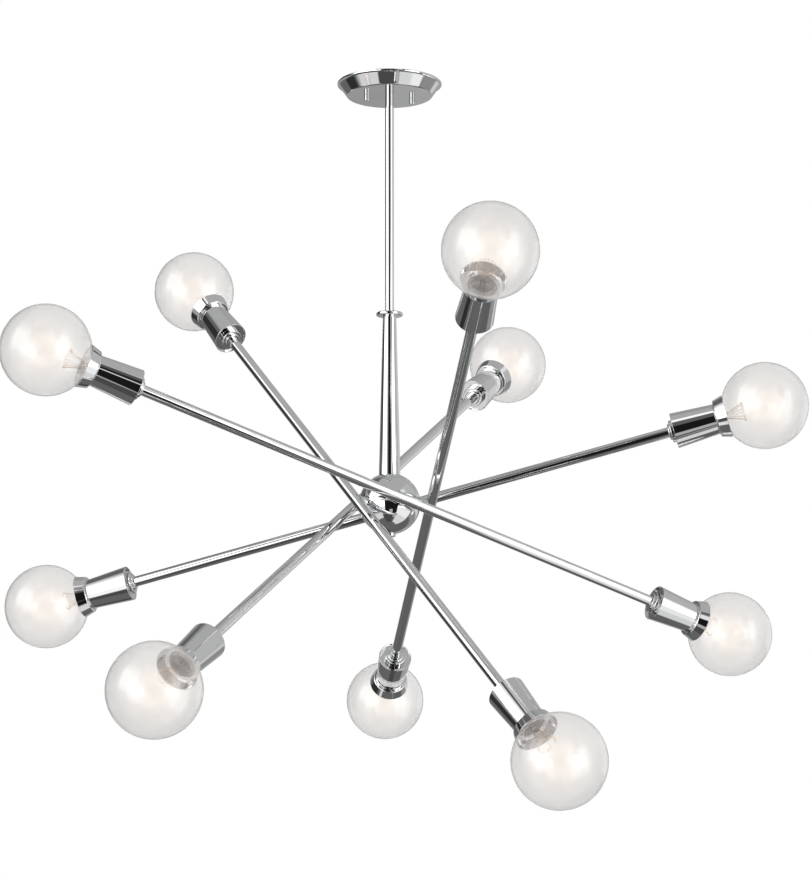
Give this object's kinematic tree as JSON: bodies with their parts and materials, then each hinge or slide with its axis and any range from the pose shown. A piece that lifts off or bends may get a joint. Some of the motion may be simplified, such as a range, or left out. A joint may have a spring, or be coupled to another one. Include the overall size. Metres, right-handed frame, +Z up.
{
  "type": "multi arm chandelier",
  "caption": "Hanging ceiling light: straight double-ended arms swivel around a ball hub below a slim tapered column and stem, with a clear globe lamp in a cup at each arm end.",
  "frame": {"origin": "centre of the mounting plate's upper face, on the ceiling plane", "axes": "+Z up through the stem, away from the ball; +X along the line of the two outlet-box slots; -Y is the side the object is usually seen from"},
  "size_m": [1.1941, 1.0986, 1.0714],
  "materials": {
    "polished_chrome": "polished",
    "plated_steel": "zinc plated",
    "cast_metal": "as cast",
    "lamp_glass": "clear",
    "socket_ceramic": "glazed",
    "lamp_cap": "rolled",
    "filament_mount": "clear, with dark wires",
    "lead_insulation": "extruded"
  },
  "bodies": {
    "ceiling_and_hub": {"mounting_plate": "plated_steel", "canopy": "polished_chrome", "canopy_studs": "plated_steel", "canopy_nuts": "polished_chrome", "stem_nut": "plated_steel", "stem": "polished_chrome", "column_flange": "polished_chrome", "column": "polished_chrome", "hub_nipple": "plated_steel", "supply_leads": "lead_insulation", "ball_upper": "polished_chrome", "ball_lower": "polished_chrome", "hub_core": "cast_metal", "friction_screws": "plated_steel", "hub_cap_screw": "polished_chrome"},
    "arm_a": {"arm_a_pivot_stud": "polished_chrome", "arm_a_tube": "polished_chrome", "arm_a_end_fittings": "polished_chrome", "arm_a_cups": "polished_chrome", "arm_a_collars": "polished_chrome", "arm_a_lampholders": "socket_ceramic", "arm_a_globes": "lamp_glass", "arm_a_lamp_bases": "lamp_cap", "arm_a_filaments": "filament_mount"},
    "arm_b": {"arm_b_pivot_stud": "polished_chrome", "arm_b_tube": "polished_chrome", "arm_b_end_fittings": "polished_chrome", "arm_b_cups": "polished_chrome", "arm_b_collars": "polished_chrome", "arm_b_lampholders": "socket_ceramic", "arm_b_globes": "lamp_glass", "arm_b_lamp_bases": "lamp_cap", "arm_b_filaments": "filament_mount"},
    "arm_c": {"arm_c_pivot_stud": "polished_chrome", "arm_c_tube": "polished_chrome", "arm_c_end_fittings": "polished_chrome", "arm_c_cups": "polished_chrome", "arm_c_collars": "polished_chrome", "arm_c_lampholders": "socket_ceramic", "arm_c_globes": "lamp_glass", "arm_c_lamp_bases": "lamp_cap", "arm_c_filaments": "filament_mount"},
    "arm_d": {"arm_d_pivot_stud": "polished_chrome", "arm_d_tube": "polished_chrome", "arm_d_end_fittings": "polished_chrome", "arm_d_cups": "polished_chrome", "arm_d_collars": "polished_chrome", "arm_d_lampholders": "socket_ceramic", "arm_d_globes": "lamp_glass", "arm_d_lamp_bases": "lamp_cap", "arm_d_filaments": "filament_mount"},
    "arm_e": {"arm_e_pivot_stud": "polished_chrome", "arm_e_tube": "polished_chrome", "arm_e_end_fittings": "polished_chrome", "arm_e_cups": "polished_chrome", "arm_e_collars": "polished_chrome", "arm_e_lampholders": "socket_ceramic", "arm_e_globes": "lamp_glass", "arm_e_lamp_bases": "lamp_cap", "arm_e_filaments": "filament_mount"}
  },
  "joints": [
    {"name": "arm_a_tilt", "type": "hinge", "parent": "ceiling_and_hub", "child": "arm_a", "pos_m": [0.03714, 0.00522, -0.634], "axis": [-0.9903, -0.1392, 0], "range_deg": [-16, 31]},
    {"name": "arm_b_tilt", "type": "hinge", "parent": "ceiling_and_hub", "child": "arm_b", "pos_m": [0.01405, -0.03477, -0.634], "axis": [-0.3746, 0.9272, 0], "range_deg": [-6, 41]},
    {"name": "arm_c_tilt", "type": "hinge", "parent": "ceiling_and_hub", "child": "arm_c", "pos_m": [-0.02894, -0.02385, -0.634], "axis": [0.7716, 0.6361, 0], "range_deg": [-28.8, 18.2]},
    {"name": "arm_d_tilt", "type": "hinge", "parent": "ceiling_and_hub", "child": "arm_d", "pos_m": [-0.03214, 0.01931, -0.634], "axis": [0.8572, -0.515, 0], "range_deg": [-17.3, 29.7]},
    {"name": "arm_e_tilt", "type": "hinge", "parent": "ceiling_and_hub", "child": "arm_e", "pos_m": [0.00715, 0.03681, -0.634], "axis": [-0.1908, -0.9816, 0], "range_deg": [-1.3, 45.7]}
  ]
}
